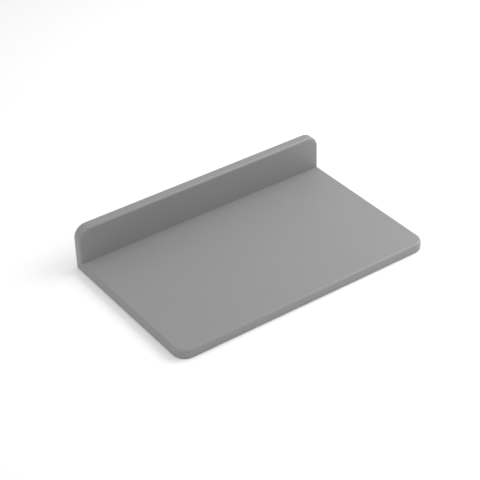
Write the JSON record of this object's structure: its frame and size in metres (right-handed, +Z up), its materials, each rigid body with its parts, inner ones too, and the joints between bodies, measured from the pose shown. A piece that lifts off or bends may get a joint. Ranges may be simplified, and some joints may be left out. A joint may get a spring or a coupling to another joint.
{
  "type": "door stop plate",
  "caption": "Flat L-shaped door stop: a thin base plate that lies on the floor with a low upstand along its rear edge, soft moulded cover over a folded steel core, rubber sole.",
  "frame": {"origin": "on the floor, under the centre of the overall box", "axes": "+X along the upstand, +Y from the front edge towards the upstand, +Z up"},
  "size_m": [0.15, 0.095, 0.025],
  "materials": {
    "cover": "soft-touch matt mid grey",
    "core_steel": "zinc plated sheet",
    "adhesive_film": "translucent adhesive film",
    "sole_rubber": "matt black rubber with moulded grooves"
  },
  "bodies": {
    "root": {"cover": "cover", "core_plate": "core_steel", "core_tape": "adhesive_film", "sole": "sole_rubber", "sole_tape": "adhesive_film"}
  },
  "joints": []
}
